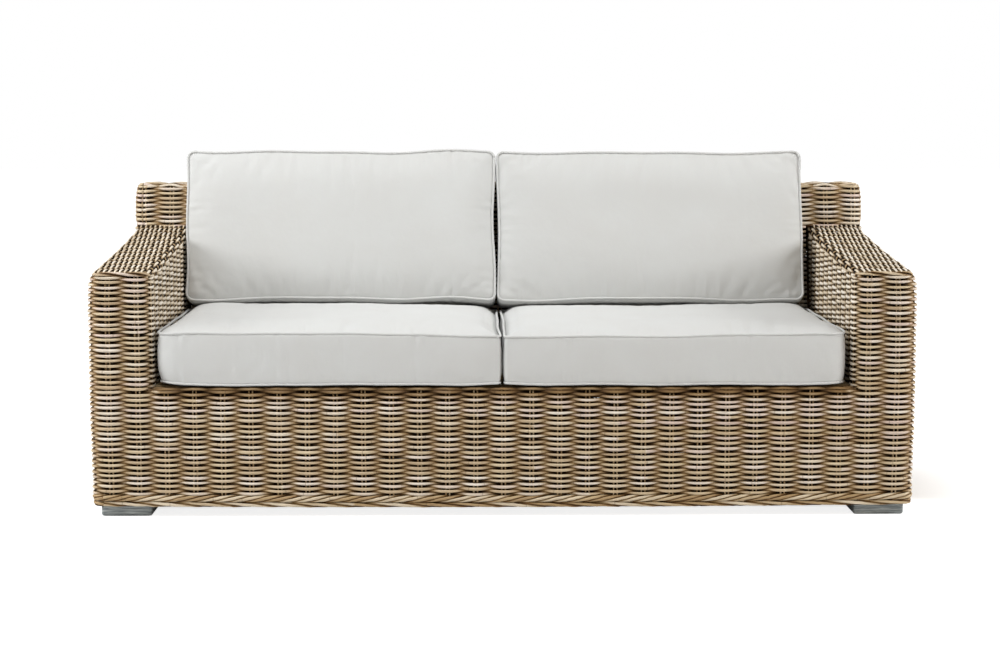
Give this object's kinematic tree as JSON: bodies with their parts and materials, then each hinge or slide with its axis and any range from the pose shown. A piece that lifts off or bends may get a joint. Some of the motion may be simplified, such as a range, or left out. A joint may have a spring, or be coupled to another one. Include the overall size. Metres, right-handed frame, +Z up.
{
  "type": "rattan garden sofa",
  "caption": "Low woven rattan garden sofa with broad rising arms, a square back, wooden block feet and loose boxed seat and back cushions.",
  "frame": {"origin": "on the floor, under the middle of the plaited border round the base", "axes": "+X to the sofa's right seen from the front, +Y to the back, +Z up; the sofa faces -Y"},
  "size_m": [2.134, 0.93, 0.9324],
  "materials": {
    "rattan_weave": "natural grey-tan rattan cane, plain woven, satin",
    "rattan_pole": "peeled rattan pole",
    "plywood": "plain plywood",
    "grey_wood": "grey washed wood",
    "cushion_cover": "off-white canvas",
    "cushion_foam": "open foam",
    "cushion_zip": "off-white zip tape"
  },
  "bodies": {
    "frame": {"border_base": "rattan_weave", "foot_back_left": "grey_wood", "foot_back_right": "grey_wood", "foot_front_left": "grey_wood", "foot_front_right": "grey_wood", "post_back_inner_left": "rattan_pole", "post_back_inner_right": "rattan_pole", "post_back_outer_left": "rattan_pole", "post_back_outer_right": "rattan_pole", "post_front_inner_left": "rattan_pole", "post_front_inner_right": "rattan_pole", "post_front_middle": "rattan_pole", "post_front_outer_left": "rattan_pole", "post_front_outer_right": "rattan_pole", "rail_arm_front_left": "rattan_pole", "rail_arm_front_right": "rattan_pole", "rail_arm_inner_left": "rattan_pole", "rail_arm_inner_right": "rattan_pole", "rail_arm_outer_left": "rattan_pole", "rail_arm_outer_right": "rattan_pole", "rail_bottom_back": "rattan_pole", "rail_bottom_front": "rattan_pole", "rail_bottom_left": "rattan_pole", "rail_bottom_right": "rattan_pole", "rail_seat_back": "rattan_pole", "rail_seat_front": "rattan_pole", "rail_seat_left": "rattan_pole", "rail_seat_middle": "rattan_pole", "rail_seat_right": "rattan_pole", "rail_top_back": "rattan_pole", "rail_top_front": "rattan_pole", "slat_1": "plywood", "slat_2": "plywood", "slat_3": "plywood", "slat_4": "plywood", "stile_back_left": "rattan_pole", "stile_back_middle": "rattan_pole", "stile_back_right": "rattan_pole", "woven_arm_inner_left": "rattan_weave", "woven_arm_inner_right": "rattan_weave", "woven_arm_top_left": "rattan_weave", "woven_arm_top_right": "rattan_weave", "woven_back": "rattan_weave", "woven_back_top": "rattan_weave", "woven_backrest": "rattan_weave", "woven_front": "rattan_weave", "woven_side_left": "rattan_weave", "woven_side_right": "rattan_weave"},
    "seat_left": {"seat_cushion_left_cover": "cushion_cover", "seat_cushion_left_foam": "cushion_foam", "seat_cushion_left_zip": "cushion_zip"},
    "seat_right": {"seat_cushion_right_cover": "cushion_cover", "seat_cushion_right_foam": "cushion_foam", "seat_cushion_right_zip": "cushion_zip"},
    "back_left": {"back_cushion_left_cover": "cushion_cover", "back_cushion_left_foam": "cushion_foam", "back_cushion_left_zip": "cushion_zip"},
    "back_right": {"back_cushion_right_cover": "cushion_cover", "back_cushion_right_foam": "cushion_foam", "back_cushion_right_zip": "cushion_zip"}
  },
  "joints": [
    {"name": "seat_left_lift", "type": "slide", "parent": "frame", "child": "seat_left", "axis": [0, 0, 1], "range_m": [0, 0.6]},
    {"name": "back_left_lift", "type": "slide", "parent": "seat_left", "child": "back_left", "axis": [0, 0, 1], "range_m": [0, 0.45]},
    {"name": "seat_right_lift", "type": "slide", "parent": "frame", "child": "seat_right", "axis": [0, 0, 1], "range_m": [0, 0.6]},
    {"name": "back_right_lift", "type": "slide", "parent": "seat_right", "child": "back_right", "axis": [0, 0, 1], "range_m": [0, 0.45]}
  ]
}
